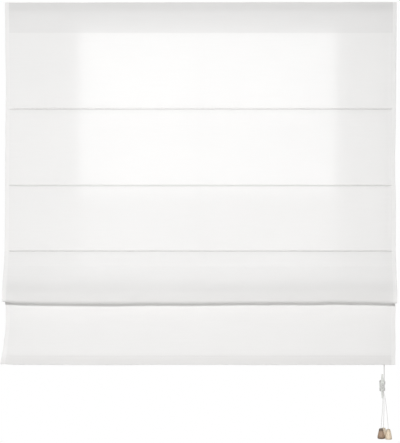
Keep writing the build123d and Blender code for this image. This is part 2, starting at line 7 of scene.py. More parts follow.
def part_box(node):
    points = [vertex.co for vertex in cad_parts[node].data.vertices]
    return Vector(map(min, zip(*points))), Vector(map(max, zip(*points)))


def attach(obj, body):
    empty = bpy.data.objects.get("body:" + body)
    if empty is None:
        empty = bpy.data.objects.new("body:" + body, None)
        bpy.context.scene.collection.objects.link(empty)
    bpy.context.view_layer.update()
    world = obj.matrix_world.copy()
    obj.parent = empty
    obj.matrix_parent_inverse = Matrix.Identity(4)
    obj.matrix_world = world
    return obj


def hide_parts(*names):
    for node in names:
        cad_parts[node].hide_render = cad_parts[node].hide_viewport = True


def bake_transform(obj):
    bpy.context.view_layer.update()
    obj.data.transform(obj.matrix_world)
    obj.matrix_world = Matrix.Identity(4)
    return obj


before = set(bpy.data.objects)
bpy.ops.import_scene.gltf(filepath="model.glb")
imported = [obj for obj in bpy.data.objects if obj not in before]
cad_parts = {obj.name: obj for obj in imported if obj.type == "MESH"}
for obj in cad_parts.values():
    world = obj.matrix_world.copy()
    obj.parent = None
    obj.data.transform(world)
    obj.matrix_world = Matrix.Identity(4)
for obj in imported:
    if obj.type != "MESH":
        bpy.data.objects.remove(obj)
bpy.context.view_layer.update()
SIDES = ("left", "centre", "right")


# View: a straight look at the blind from in front, over a pale floor and in soft even light. A
# bright field stands behind the cloth, a little narrower than it, and shows through the weave.
VIEW_CENTRE = (-0.0034, -0.793)
VIEW_DISTANCE = 3.537
LENS = 74.3
LONG_SIDE = 36.0

camera_data = bpy.data.cameras.new("camera")
camera_data.lens = LENS
camera_data.sensor_width = LONG_SIDE
camera = bpy.data.objects.new("camera", camera_data)
camera.location = (VIEW_CENTRE[0], -VIEW_DISTANCE, VIEW_CENTRE[1])
camera.rotation_euler = (math.radians(90), 0, 0)
bpy.context.collection.objects.link(camera)
bpy.context.scene.camera = camera
bpy.context.scene.view_settings.view_transform = "Standard"

SURROUND = (0.80, 0.80, 0.80)
SURROUND_STRENGTH = 0.34
world = bpy.data.worlds.new("pale_surround")
bpy.context.scene.world = world
world.use_nodes = True
sky = world.node_tree.nodes
links = world.node_tree.links
sky.clear()
path = sky.new("ShaderNodeLightPath")
mirrored = sky.new("ShaderNodeMath")
mirrored.operation = "MAXIMUM"
seen = sky.new("ShaderNodeMath")
seen.operation = "MAXIMUM"
links.new(path.outputs["Is Glossy Ray"], mirrored.inputs[0])
links.new(path.outputs["Is Transmission Ray"], mirrored.inputs[1])
links.new(path.outputs["Is Camera Ray"], seen.inputs[0])
links.new(mirrored.outputs[0], seen.inputs[1])
lit = sky.new("ShaderNodeBackground")
lit.inputs["Color"].default_value = (*SURROUND, 1)
lit.inputs["Strength"].default_value = SURROUND_STRENGTH
white = sky.new("ShaderNodeBackground")
white.inputs["Color"].default_value = (1, 1, 1, 1)
white.inputs["Strength"].default_value = 1.0
choose = sky.new("ShaderNodeMixShader")
sky_out = sky.new("ShaderNodeOutputWorld")
links.new(seen.outputs[0], choose.inputs[0])
links.new(lit.outputs[0], choose.inputs[1])
links.new(white.outputs[0], choose.inputs[2])
links.new(choose.outputs[0], sky_out.inputs["Surface"])


def soft_lamp(name, at, towards, width, height, watts, colour):
    """A rectangular lamp that the camera doesn't see."""
    lamp_data = bpy.data.lights.new(name, "AREA")
    lamp_data.shape = "RECTANGLE"
    lamp_data.size = width
    lamp_data.size_y = height
    lamp_data.energy = watts
    lamp_data.color = colour
    lamp = bpy.data.objects.new(name, lamp_data)
    lamp.location = at
    lamp.rotation_euler = (Vector(towards) - Vector(at)).to_track_quat("-Z", "Y").to_euler()
    lamp.visible_camera = False
    bpy.context.collection.objects.link(lamp)


PLAIN_LIGHT = (1.0, 1.0, 1.0)
WARM_LIGHT = (1.0, 0.92, 0.84)
soft_lamp("front_lamp", (-0.30, -3.6, 0.06), (0, 0, -2.2), 1.3, 0.22, 96, PLAIN_LIGHT)
soft_lamp("low_lamp", (0.3, -3.3, -1.9), (0, 0, -1.6), 1.2, 0.4, 4, WARM_LIGHT)
soft_lamp("back_lamp", (0.5, 3.4, -0.7), (0, 0, -1.0), 1.6, 1.0, 13, PLAIN_LIGHT)

# The bright field behind the cloth: top, bottom and watts of each of its bands
DAYLIGHT = (0.975, 0.985, 1.0)
DAY_WIDTH = 0.985
DAY_CENTRE = 0.026
DAY_DEPTH = -0.0125
DAY_BANDS = ((-0.048, -0.40, 0.65), (-0.40, -0.69, 0.44), (-0.69, -1.00, 0.15))
for number, (top, bottom, watts) in enumerate(DAY_BANDS, start=1):
    middle = (top + bottom) / 2
    soft_lamp(
        f"daylight_{number}",
        (DAY_CENTRE, DAY_DEPTH, middle),
        (DAY_CENTRE, -1, middle),
        DAY_WIDTH,
        top - bottom,
        watts,
        DAYLIGHT,
    )

FLOOR_Z = -2.35
FLOOR_REACH = 8.0
FLOOR_BACK = 2.2
FLOOR_COLOUR = (0.82, 0.81, 0.80, 1)
FLOOR_LIFT = 0.5
floor_mesh = bpy.data.meshes.new("floor")
floor_corners = [
    (-FLOOR_REACH, -FLOOR_REACH, FLOOR_Z),
    (FLOOR_REACH, -FLOOR_REACH, FLOOR_Z),
    (FLOOR_REACH, FLOOR_BACK, FLOOR_Z),
    (-FLOOR_REACH, FLOOR_BACK, FLOOR_Z),
]
floor_mesh.from_pydata(floor_corners, [], [(0, 1, 2, 3)])
floor = bpy.data.objects.new("floor", floor_mesh)
bpy.context.collection.objects.link(floor)
floor_finish = bpy.data.materials.new("pale_floor")
floor_finish.use_nodes = True
floor_nodes = floor_finish.node_tree.nodes
floor_wires = floor_finish.node_tree.links
floor_shader = floor_nodes["Principled BSDF"]
floor_shader.inputs["Base Color"].default_value = FLOOR_COLOUR
floor_shader.inputs["Roughness"].default_value = 0.9
floor_shader.inputs["Emission Color"].default_value = (1, 1, 1, 1)
floor_path = floor_nodes.new("ShaderNodeLightPath")
floor_lift = floor_nodes.new("ShaderNodeMath")
floor_lift.operation = "MULTIPLY"
floor_lift.inputs[1].default_value = FLOOR_LIFT
floor_wires.new(floor_path.outputs["Is Camera Ray"], floor_lift.inputs[0])
floor_wires.new(floor_lift.outputs[0], floor_shader.inputs["Emission Strength"])
floor.data.materials.append(floor_finish)


# Brackets: 1.5 mm steel strip, folded, punched and powder coated white. Each hooks over the
# headrail and has two screw holes in the leg behind it.
def place(nodes, kind, **values):
    """A shader node with its plain values set."""
    node = nodes.new(kind)
    for name, value in values.items():
        if hasattr(node, name):
            setattr(node, name, value)
        else:
            node.inputs[name.replace("_", " ")].default_value = value
    return node


def new_finish(name):
    """A finish to build on, with its nodes, its links, its shader and its coordinates."""
    finish = bpy.data.materials.new(name)
    finish.use_nodes = True
    nodes = finish.node_tree.nodes
    where = nodes.new("ShaderNodeTexCoord")
    return finish, nodes, finish.node_tree.links, nodes["Principled BSDF"], where


def coated(name, colour, roughness, grain, depth, tint=0.04, stretch=(1, 1, 1)):
    """A hard finish: a little colour drift, uneven gloss and a fine grain in relief."""
    finish, nodes, wires, shader, where = new_finish(name)
    scale = place(nodes, "ShaderNodeMapping")
    scale.inputs["Scale"].default_value = stretch
    wires.new(where.outputs["Object"], scale.inputs["Vector"])
    fine = place(nodes, "ShaderNodeTexNoise", Scale=grain, Detail=4.0)
    broad = place(nodes, "ShaderNodeTexNoise", Scale=grain / 40, Detail=3.0)
    wires.new(scale.outputs[0], fine.inputs["Vector"])
    wires.new(scale.outputs[0], broad.inputs["Vector"])
    drift = nodes.new("ShaderNodeValToRGB")
    drift.color_ramp.elements[0].color = (*[c * (1 - tint) for c in colour], 1)
    drift.color_ramp.elements[1].color = (*[min(1, c * (1 + tint)) for c in colour], 1)
    wires.new(broad.outputs[0], drift.inputs[0])
    wires.new(drift.outputs[0], shader.inputs["Base Color"])
    gloss = place(nodes, "ShaderNodeMapRange")
    gloss.inputs["To Min"].default_value = roughness - 0.06
    gloss.inputs["To Max"].default_value = roughness + 0.06
    wires.new(fine.outputs[0], gloss.inputs["Value"])
    wires.new(gloss.outputs[0], shader.inputs["Roughness"])
    relief = place(nodes, "ShaderNodeBump", Strength=0.5, Distance=depth)
    wires.new(fine.outputs[0], relief.inputs["Height"])
    wires.new(relief.outputs[0], shader.inputs["Normal"])
    return finish


def dress(node, finish):
    """Gives a solid of the frame its finish, with its round faces shaded smooth."""
    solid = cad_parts[node]
    solid.data.materials.clear()
    solid.data.materials.append(finish)
    for face in solid.data.polygons:
        face.use_smooth = True
    split = solid.modifiers.new("crisp_edges", "EDGE_SPLIT")
    split.split_angle = math.radians(32)


POWDER_WHITE = (0.80, 0.80, 0.79)
powder_coat = coated("powder_coat", POWDER_WHITE, 0.42, 900, 0.00003)
for side in ("left", "right"):
    dress(f"bracket_{side}", powder_coat)


# Headrail: an aluminium channel, extruded with a slot below, painted white, and closed at each
# end by a pressed-in plastic cap.
rail_paint = coated("rail_paint", POWDER_WHITE, 0.34, 420, 0.00002, stretch=(0.02, 1, 1))
dress("headrail", rail_paint)

CAP_WHITE = (0.83, 0.83, 0.81)
moulded_white = coated("moulded_white", CAP_WHITE, 0.46, 650, 0.00004)
for side in ("left", "right"):
    dress(f"end_cap_{side}", moulded_white)


# Cord guides and outlet: moulded nylon saddles that slide into the rail, each with grooved
# acetal rollers that turn on plain steel pins.
NYLON = (0.76, 0.77, 0.75)
ACETAL = (0.84, 0.84, 0.82)
STEEL = (0.55, 0.55, 0.56)
nylon = coated("nylon", NYLON, 0.38, 500, 0.00003)
nylon.node_tree.nodes["Principled BSDF"].inputs["Subsurface Weight"].default_value = 0.15
acetal = coated("acetal", ACETAL, 0.28, 700, 0.00001)
pin_steel = coated("pin_steel", STEEL, 0.30, 900, 0.00001, stretch=(1, 0.05, 1))
pin_steel.node_tree.nodes["Principled BSDF"].inputs["Metallic"].default_value = 1.0
dress("cord_outlet", nylon)
for side in SIDES:
    dress(f"cord_guide_{side}", nylon)
    for place_name in ("guide", "outlet"):
        dress(f"{place_name}_roller_{side}", acetal)
        dress(f"{place_name}_axle_{side}", pin_steel)


# Fastening tapes: woven nylon, the hooks glued along the front of the rail and the soft loops
# sewn to the back of the cloth, so that the cloth peels off for washing.
TAPE_WHITE = (0.78, 0.78, 0.77)
hook_weave = coated("hook_weave", TAPE_WHITE, 0.8, 1400, 0.0004)
loop_pile = coated("loop_pile", TAPE_WHITE, 0.9, 2200, 0.0006)
dress("hook_tape", hook_weave)
dress("loop_tape", loop_pile)


# Rods, rings and bottom bar: glass-fibre rods that keep each fold straight, clear moulded rings
# sewn behind them, and a flat white bar that weights the hem.
ROD_WHITE = (0.78, 0.79, 0.76)
RING_CLEAR = (0.84, 0.85, 0.85)
glass_fibre = coated("glass_fibre", ROD_WHITE, 0.40, 900, 0.00002, stretch=(0.01, 1, 1))
ring_moulding = coated("ring_moulding", RING_CLEAR, 0.18, 700, 0.00001)
ring_moulding.node_tree.nodes["Principled BSDF"].inputs["Transmission Weight"].default_value = 0.45
ring_moulding.node_tree.nodes["Principled BSDF"].inputs["IOR"].default_value = 1.49
bar_paint = coated("bar_paint", POWDER_WHITE, 0.36, 500, 0.00002, stretch=(0.02, 1, 1))
for number in (1, 2, 3, 4):
    dress(f"rod_{number}", glass_fibre)
    for side in SIDES:
        dress(f"ring_{number}_{side}", ring_moulding)
dress("bottom_bar", bar_paint)


# Cleat: one white plastic moulding, two horns on a neck, held by two screws that the wound cord
# hides.
CLEAT_WHITE = (0.74, 0.76, 0.73)
cleat_plastic = coated("cleat_plastic", CLEAT_WHITE, 0.36, 500, 0.00003)
dress("cleat", cleat_plastic)


# Lift cords: braided polyester, 1.8 mm. Each is knotted to its lowest ring and runs up through the
# rings and along the rail. Below the rail it is in four spans.
CORD_DIAMETER = 0.0018
CORD_WHITE = (0.78, 0.78, 0.765)


def braid(name, colour):
    """Braided cord: two crossing runs of fine plait in relief and a little shade between them."""
    finish, nodes, wires, shader, where = new_finish(name)
    shader.inputs["Roughness"].default_value = 0.72
    shader.inputs["Sheen Weight"].default_value = 0.2
    heights = []
    for turn in (0.9, -0.9):
        lean = place(nodes, "ShaderNodeMapping")
        lean.inputs["Rotation"].default_value = (turn, turn, 0)
        plait = place(nodes, "ShaderNodeTexWave", bands_direction="Z", Scale=330.0, Distortion=0.4)
        wires.new(where.outputs["Object"], lean.inputs["Vector"])
        wires.new(lean.outputs[0], plait.inputs["Vector"])
        heights.append(plait.outputs["Fac"])
    both = place(nodes, "ShaderNodeMath", operation="MULTIPLY")
    wires.new(heights[0], both.inputs[0])
    wires.new(heights[1], both.inputs[1])
    shade = nodes.new("ShaderNodeValToRGB")
    shade.color_ramp.elements[0].color = (*[c * 0.86 for c in colour], 1)
    shade.color_ramp.elements[1].color = (*colour, 1)
    wires.new(both.outputs[0], shade.inputs[0])
    wires.new(shade.outputs[0], shader.inputs["Base Color"])
    relief = place(nodes, "ShaderNodeBump", Strength=0.6, Distance=0.0002)
    wires.new(both.outputs[0], relief.inputs["Height"])
    wires.new(relief.outputs[0], shader.inputs["Normal"])
    return finish


cord_braid = braid("cord_braid", CORD_WHITE)


def low(node):
    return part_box(node)[0]


def high(node):
    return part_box(node)[1]


def middle_of(node):
    return (Vector(low(node)) + Vector(high(node))) / 2


def link_piece(name, mesh, finish):
    """A new piece of the object with one finish and smooth shading."""
    piece = bpy.data.objects.new(name, mesh)
    bpy.context.collection.objects.link(piece)
    mesh.materials.append(finish)
    for face in mesh.polygons:
        face.use_smooth = True
    return piece


def skin(bm, rings):
    """Faces all the way round between each ring of points and the next."""
    for first, second in zip(rings, rings[1:]):
        for step in range(len(first)):
            after = (step + 1) % len(first)
            bm.faces.new((first[step], first[after], second[after], second[step]))


def tube(name, points, radius, finish, around=10):
    """A round tube along points, with closed ends."""
    mesh = bpy.data.meshes.new(name)
    bm = bmesh.new()
    rings = []
    side = Vector((0, 1, 0))
    for number, point in enumerate(points):
        before = points[max(number - 1, 0)]
        after = points[min(number + 1, len(points) - 1)]
        along = (Vector(after) - Vector(before)).normalized()
        out = along.cross(side).normalized()
        up = out.cross(along)
        ring = []
        for step in range(around):
            angle = 2 * math.pi * step / around
            spoke = math.cos(angle) * out + math.sin(angle) * up
            ring.append(bm.verts.new(Vector(point) + radius * spoke))
        rings.append(ring)
    skin(bm, rings)
    bm.faces.new(rings[0][::-1])
    bm.faces.new(rings[-1])
    bmesh.ops.recalc_face_normals(bm, faces=bm.faces)
    bm.to_mesh(mesh)
    bm.free()
    return link_piece(name, mesh, finish)


rod_centres = [middle_of(f"rod_{number}") for number in (1, 2, 3, 4)]
rail_bottom = low("headrail")[2]
cord_exit_z = high("pull_cord_left")[2]
SPAN_STEP = 0.012
BELOW_RAIL = 0.002
QUARTER_STEPS = 8
for side in SIDES:
    cord_low = low(f"lift_cord_{side}")
    cord_high = high(f"lift_cord_{side}")
    cord_x = cord_low[0] + CORD_DIAMETER / 2
    cord_y = middle_of(f"lift_cord_{side}").y
    out_x = cord_high[0] - CORD_DIAMETER / 2
    run_end_z = cord_high[2] - CORD_DIAMETER / 2
    roller = middle_of(f"guide_roller_{side}")
    turn = roller.x - cord_x
    route = [(cord_x, cord_y, rail_bottom - BELOW_RAIL), (cord_x, cord_y, roller.z)]
    for step in range(1, QUARTER_STEPS + 1):
        angle = math.pi / 2 * step / QUARTER_STEPS
        over_x = cord_x + turn * (1 - math.cos(angle))
        route.append((over_x, cord_y, roller.z + turn * math.sin(angle)))
    for step in range(QUARTER_STEPS + 1):
        angle = math.pi / 2 * step / QUARTER_STEPS
        over_x = out_x - turn * (1 - math.sin(angle))
        route.append((over_x, cord_y, run_end_z - turn * (1 - math.cos(angle))))
    route.append((out_x, cord_y, cord_exit_z))
    rail_run = tube(f"lift_cord_{side}_rail_run", route, CORD_DIAMETER / 2, cord_braid)
    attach(rail_run, "headrail")
    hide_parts(f"lift_cord_{side}")
    span_tops = [rail_bottom - BELOW_RAIL] + [rod.z for rod in rod_centres[:3]]
    for number, (top, rod) in enumerate(zip(span_tops, rod_centres), start=1):
        bottom = rod.z if number < 4 else cord_low[2]
        steps = max(2, round((top - bottom) / SPAN_STEP))
        span_points = [(cord_x, cord_y, top + (bottom - top) * k / steps) for k in range(steps + 1)]
        span = tube(f"lift_cord_{side}_span_{number}", span_points, CORD_DIAMETER / 2, cord_braid)
        above = "headrail" if number == 1 else f"rod_{number - 1}"
        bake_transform(span)
        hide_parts(f"lift_cord_{side}")
    dress(f"cord_knot_{side}", cord_braid)


# Cloth: plain woven polyester, cut as one length with its side hems turned to the back. It hangs
# from its header tape and is sewn into a tuck at each rod. Three panels hang flat above the fold.
CLOTH = 0.0007
HALF_WIDTH = 0.75
SIDE_HEM = 0.015
HEM_SETTLE = 0.005
HEM_BLEND = 0.004
HEM_COLUMNS = 8
HEM_LIFT = 0.0009
TUCK_DEPTH = 0.0036
TUCK_ROUND = 0.0048
HALF_CLOTH = CLOTH / 2
SEAT_GAP = 0.0003
COLUMN_STEP = 0.011
LINE_STEP = 0.009
ARC_STEP = math.radians(16)
NEARLY_STRAIGHT = math.radians(89.5)
CLOTH_SHADE = (0.86, 0.857, 0.852)
# The side hems are doubled, so they let less light through; their colour is also painted lighter
# than the cloth's: painted light
HEM_SHADE_AND_PAINTED_LIGHT = (0.895, 0.893, 0.888)
POCKET_SHADE = (0.845, 0.841, 0.836)
# Painted shade: a darker copy of the cloth colour for the top band, where a wall behind would keep
# the light off
HEADER_PAINTED_SHADE = (0.815, 0.812, 0.808)


def woven(name, colour, let_through):
    """Plain weave: warp and weft in relief, slubs that run across, and daylight let through."""
    finish, nodes, wires, shader, where = new_finish(name)
    shader.inputs["Roughness"].default_value = 0.85
    shader.inputs["Sheen Weight"].default_value = 0.15
    shader.inputs["Sheen Roughness"].default_value = 0.5
    shader.inputs["Specular IOR Level"].default_value = 0.2
    threads = []
    for direction, spacing in (("X", 520.0), ("Z", 560.0)):
        thread = place(nodes, "ShaderNodeTexWave", bands_direction=direction, Scale=spacing)
        thread.inputs["Distortion"].default_value = 0.6
        wires.new(where.outputs["Object"], thread.inputs["Vector"])
        threads.append(thread.outputs["Fac"])
    weave = place(nodes, "ShaderNodeMath", operation="ADD")
    wires.new(threads[0], weave.inputs[0])
    wires.new(threads[1], weave.inputs[1])
    slub_run = place(nodes, "ShaderNodeMapping")
    slub_run.inputs["Scale"].default_value = (9, 60, 420)
    slubs = place(nodes, "ShaderNodeTexNoise", Scale=1.0, Detail=4.0)
    wires.new(where.outputs["Object"], slub_run.inputs["Vector"])
    wires.new(slub_run.outputs[0], slubs.inputs["Vector"])
    drift = place(nodes, "ShaderNodeTexNoise", Scale=3.0, Detail=2.0)
    wires.new(where.outputs["Object"], drift.inputs["Vector"])
    mottle = place(nodes, "ShaderNodeMath", operation="ADD")
    wires.new(slubs.outputs[0], mottle.inputs[0])
    wires.new(drift.outputs[0], mottle.inputs[1])
    tone = nodes.new("ShaderNodeValToRGB")
    tone.color_ramp.elements[0].position = 0.30
    tone.color_ramp.elements[0].color = (*[c * 0.985 for c in colour], 1)
    tone.color_ramp.elements[1].position = 0.72
    tone.color_ramp.elements[1].color = (*[min(1, c * 1.015) for c in colour], 1)
    half = place(nodes, "ShaderNodeMath", operation="MULTIPLY")
    half.inputs[1].default_value = 0.5
    wires.new(mottle.outputs[0], half.inputs[0])
    wires.new(half.outputs[0], tone.inputs[0])
    wires.new(tone.outputs[0], shader.inputs["Base Color"])
    relief = place(nodes, "ShaderNodeBump", Strength=0.35, Distance=0.0002)
    wires.new(weave.outputs[0], relief.inputs["Height"])
    slub_relief = place(nodes, "ShaderNodeBump", Strength=0.25, Distance=0.0003)
    wires.new(slubs.outputs[0], slub_relief.inputs["Height"])
    wires.new(relief.outputs[0], slub_relief.inputs["Normal"])
    wires.new(slub_relief.outputs[0], shader.inputs["Normal"])
    through = nodes.new("ShaderNodeBsdfTranslucent")
    wires.new(tone.outputs[0], through.inputs["Color"])
    both = nodes.new("ShaderNodeMixShader")
    both.inputs[0].default_value = let_through
    wires.new(shader.outputs[0], both.inputs[1])
    wires.new(through.outputs[0], both.inputs[2])
    wires.new(both.outputs[0], nodes["Material Output"].inputs["Surface"])
    return finish


face_cloth = woven("face_cloth", CLOTH_SHADE, 0.22)
# Painted light: the side hems, in a lighter copy of the cloth colour
hem_cloth_painted_light = woven("hem_cloth_painted_light", HEM_SHADE_AND_PAINTED_LIGHT, 0.05)
pocket_cloth = woven("pocket_cloth", POCKET_SHADE, 0.10)
# Painted shade: the top band of the cloth, darker and letting less light through
header_painted_shade_cloth = woven("header_painted_shade_cloth", HEADER_PAINTED_SHADE, 0.12)
cloth_low = low("fabric")
cloth_high = high("fabric")
cloth_top = cloth_high[2]
tail_z = cloth_low[2]
header_y = low("loop_tape")[1] - HALF_CLOTH
rod_radius = (high("rod_1")[2] - low("rod_1")[2]) / 2
pocket_radius = rod_radius + SEAT_GAP + HALF_CLOTH
tuck_ys = [rod.y - rod_radius - SEAT_GAP - HALF_CLOTH for rod in rod_centres]
face_ys = [y - TUCK_DEPTH for y in tuck_ys]
rod_zs = [rod.z for rod in rod_centres]
# Distance of each side edge from the middle, at heights from the top of the cloth to its foot
LEFT_EDGE = (
    (0.05, 0.7500), (-0.11, 0.7487), (-0.27, 0.7462), (-0.47, 0.7487), (-0.62, 0.7500),
    (-0.80, 0.7510), (-0.91, 0.7530), (-1.10, 0.7520), (-1.12, 0.7487), (-1.20, 0.7487),
    (-1.26, 0.7540), (-1.35, 0.7620),
)
RIGHT_EDGE = (
    (0.05, 0.7500), (-0.26, 0.7475), (-0.60, 0.7440), (-0.74, 0.7475), (-0.91, 0.7470),
    (-1.10, 0.7425), (-1.12, 0.7470), (-1.20, 0.7450), (-1.35, 0.7425),
)


def smooth_line(places, at):
    """The value at one place of the smooth line through pairs of a place and a value."""
    for (start, first), (end, second) in zip(places, places[1:]):
        if (at - end) * (end - start) <= 0:
            share = min(1, max(0, (at - start) / (end - start)))
            return first + (second - first) * share * share * (3 - 2 * share)
    return places[-1][1]


def folded_line(corners, radii, step=LINE_STEP):
    """Straight runs joined by arcs, from the first corner to the last, as points of a section."""
    points = [Vector(corners[0])]

    def run_to(target):
        start = points[-1]
        parts = max(1, round((target - start).length / step))
        for part in range(1, parts + 1):
            points.append(start.lerp(target, part / parts))

    for before, corner, after, radius in zip(corners, corners[1:], corners[2:], radii):
        corner = Vector(corner)
        towards = (Vector(before) - corner).normalized()
        away = (Vector(after) - corner).normalized()
        half_angle = towards.angle(away) / 2
        if half_angle > NEARLY_STRAIGHT:
            continue
        setback = radius / math.tan(half_angle)
        centre = corner + (towards + away).normalized() * radius / math.sin(half_angle)
        first = corner + towards * setback - centre
        last = corner + away * setback - centre
        if (centre + first - points[-1]).length > 1e-6:
            run_to(centre + first)
        turn = math.pi - 2 * half_angle
        parts = max(2, math.ceil(turn / ARC_STEP))
        for part in range(1, parts + 1):
            share = part / parts
            spoke = first * math.sin((1 - share) * turn) + last * math.sin(share * turn)
            points.append(centre + spoke / math.sin(turn))
    run_to(Vector(corners[-1]))
    return points


def untucked(line, rod_z, face_y):
    """The same section for the side hems, which pass over the end of the rod pocket."""
    reach = TUCK_ROUND + CLOTH
    near = [number for number, point in enumerate(line) if abs(point.y - rod_z) < reach]
    first, last = near[0], near[-1]
    flat = [point.copy() for point in line]
    at_rod = Vector((face_y, rod_z))
    for number in near:
        if first == 0:
            flat[number] = at_rod.lerp(line[last], number / last)
        else:
            flat[number] = line[first].lerp(at_rod, (number - first) / (last - first))
    return flat


def across(z):
    """Places along a row of the cloth: x, distance in from the edge, and how far turned back."""
    inner = [
        (SIDE_HEM, 1), (SIDE_HEM * 0.55, 1), (0.0012, 1), (0.0003, 0.8), (0.0, 0.45),
        (0.0003, 0.12), (0.0015, 0), (SIDE_HEM * 0.55, 0), (SIDE_HEM, 0), (SIDE_HEM + 0.002, 0),
        (SIDE_HEM + HEM_SETTLE, 0),
    ]
    left = -smooth_line(LEFT_EDGE, z)
    right = smooth_line(RIGHT_EDGE, z)
    start = left + SIDE_HEM + HEM_SETTLE
    end = right - SIDE_HEM - HEM_SETTLE
    parts = round((HALF_WIDTH - SIDE_HEM - HEM_SETTLE) * 2 / COLUMN_STEP)
    places = [(left + inset, inset, layer) for inset, layer in inner]
    places += [(start + (end - start) * part / parts, 1.0, 0) for part in range(1, parts)]
    places += [(right - inset, inset, layer) for inset, layer in reversed(inner)]
    return places


def hang(name, line, flat_line, push, pocket_top=-9.0, painted_shade_foot=9.0):
    """A stretch of cloth with turned side hems: each point of the section becomes a row.

    Below pocket_top it is the pocket of the hem. Above the foot of the painted shade it takes a
    darker cloth that lets less light through: painted shade, for light kept off the top of the
    blind.
    """
    mesh = bpy.data.meshes.new(name)
    bm = bmesh.new()
    rows = []
    for number, (point, flat_point) in enumerate(zip(line, flat_line)):
        above = line[max(number - 1, 0)]
        below = line[min(number + 1, len(line) - 1)]
        along = (below - above).normalized()
        row = []
        for x, inset, layer in across(point.y):
            share = min(1, max(0, (inset - SIDE_HEM) / HEM_BLEND))
            share = share * share * (3 - 2 * share)
            y, z = flat_point.lerp(point, share)
            forward = push(x, z, number / (len(line) - 1)) - layer * HEM_LIFT
            row.append(bm.verts.new((x, y + along.y * forward, z - along.x * forward)))
        rows.append(row)
    for first, second in zip(rows, rows[1:]):
        for column, (a, b, c, d) in enumerate(zip(first, first[1:], second[1:], second)):
            face = bm.faces.new((a, b, c, d))
            in_side_hem = column < HEM_COLUMNS or column > len(first) - 2 - HEM_COLUMNS
            in_pocket = c.co.z < pocket_top
            in_painted_shade = c.co.z > painted_shade_foot
            face.material_index = 1 if in_side_hem else 2 if in_pocket else 3 if in_painted_shade else 0
    bm.normal_update()
    bm.to_mesh(mesh)
    bm.free()
    piece = link_piece(name, mesh, face_cloth)
    mesh.materials.append(hem_cloth_painted_light)
    mesh.materials.append(pocket_cloth)
    mesh.materials.append(header_painted_shade_cloth)
    return piece


def line_length(line):
    return sum((b - a).length for a, b in zip(line, line[1:]))


def ripple(seed, height, wide, tall):
    """Slow waves in hanging cloth, still at the panel's two ends."""

    def push(x, z, share):
        slow = noise.noise(Vector((x / wide, z / tall, seed)))
        quick = noise.noise(Vector((x / wide * 3.1, z / tall * 2.3, seed + 7.3)))
        envelope = min(1, 5 * share, 5 * (1 - share))
        return (slow + 0.3 * quick) * height * envelope

    return push


HEADER_FOOT = low("loop_tape")[2] - 0.003
TURNED_TOP = 0.0055
SEAM_DENT = 0.0005
SEAM_SPREAD = 0.0016
SEAM_Z = HEADER_FOOT + 0.001
SLACK_START = 0.06
SLACK_END = 0.05
LIFT_START = HEADER_FOOT + 0.012
TOP_SLOPE = 0.0016
TOP_WAVE = 0.0007
LEVEL_X = -0.3
# Foot of the painted shade along the top of the cloth
PAINTED_SHADE_FOOT = -0.075
TURN_OFFSET = 0.0010
TURN_ROUND = 0.00045
HEADER_BEND = 0.05


def tuck(number, side):
    """The two corners where the cloth turns into a rod's tuck, from above (1) or below (-1)."""
    z = rod_zs[number] + side * HALF_CLOTH
    corners = [(face_ys[number], z), (tuck_ys[number], z)]
    return corners if side > 0 else corners[::-1]


first_ripple = ripple(seed=3.0, height=0.0016, wide=0.36, tall=0.20)


def header_push(x, z, share):
    """The header is held flat by its tape and drawn in at its seam; below it the cloth waves."""
    dent = SEAM_DENT * math.exp(-(((z - SEAM_Z) / SEAM_SPREAD) ** 2))
    if z > HEADER_FOOT:
        return -dent
    slack = min(1, (HEADER_FOOT - z) / SLACK_START, (z - rod_zs[0]) / SLACK_END)
    return first_ripple(x, z, 0.5) * max(0, slack) - dent


panels = []
top_line = folded_line(
    [
        (header_y + TURN_OFFSET, cloth_top - TURNED_TOP),
        (header_y + TURN_OFFSET, cloth_top),
        (header_y, cloth_top),
        (header_y, HEADER_FOOT),
    ]
    + tuck(0, 1),
    [TURN_ROUND, TURN_ROUND, HEADER_BEND, TUCK_ROUND],
)
top_flat = untucked(top_line, rod_zs[0], face_ys[0])
panel = hang("cloth_panel_1", top_line, top_flat, header_push, painted_shade_foot=PAINTED_SHADE_FOOT)
# The top edge isn't quite level
for vert in panel.data.vertices:
    lift = max(0, (vert.co.z - LIFT_START) / (cloth_top - LIFT_START))
    wave = TOP_WAVE * noise.noise(Vector((vert.co.x * 5.0, 2.0, 0.0)))
    vert.co.z += lift * (TOP_SLOPE * (vert.co.x - LEVEL_X) + wave)
top_turn = ((header_y + face_ys[0]) / 2, (HEADER_FOOT + rod_zs[0]) / 2)
panels.append((panel, "headrail", "rod_1", line_length(top_line), top_turn))
for number in (1, 2):
    line = folded_line(tuck(number - 1, -1) + tuck(number, 1), [TUCK_ROUND, TUCK_ROUND])
    upper_flat = untucked(line, rod_zs[number - 1], face_ys[number - 1])
    lower_flat = untucked(line, rod_zs[number], face_ys[number])
    flat = upper_flat[: len(line) // 2] + lower_flat[len(line) // 2 :]
    waves = ripple(seed=3.0 + number, height=0.0013, wide=0.33, tall=0.17)
    panel = hang(f"cloth_panel_{number + 1}", line, flat, waves)
    middle_y = (face_ys[number - 1] + face_ys[number]) / 2
    middle_z = (rod_zs[number - 1] + rod_zs[number]) / 2
    ends = (f"rod_{number}", f"rod_{number + 1}")
    panels.append((panel, *ends, line_length(line), (middle_y, middle_z)))
for (panel, above, below, _, middle), rod_z in zip(panels, rod_zs):
    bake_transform(panel)


# Folded panel: the fourth panel of the same cloth, drawn up by rod 4, so that it stands forward
# of rod 3 and turns under in a round nose. Its front and its back leg are two pieces.
FOLD_DROP = 0.1960
FOLD_THICKNESS = 0.038
NOSE_ROUND = 0.012
NOSE_WEIGHT = 0.363
SHOULDER = (0.27, 0.30)
CHEST = 0.79
SHOULDER_ROUND = 0.060
CHEST_ROUND = 0.050
ROD_ROUND = 0.001
FOLD_SAG = 0.0035
FOLD_WAVE = 0.0012
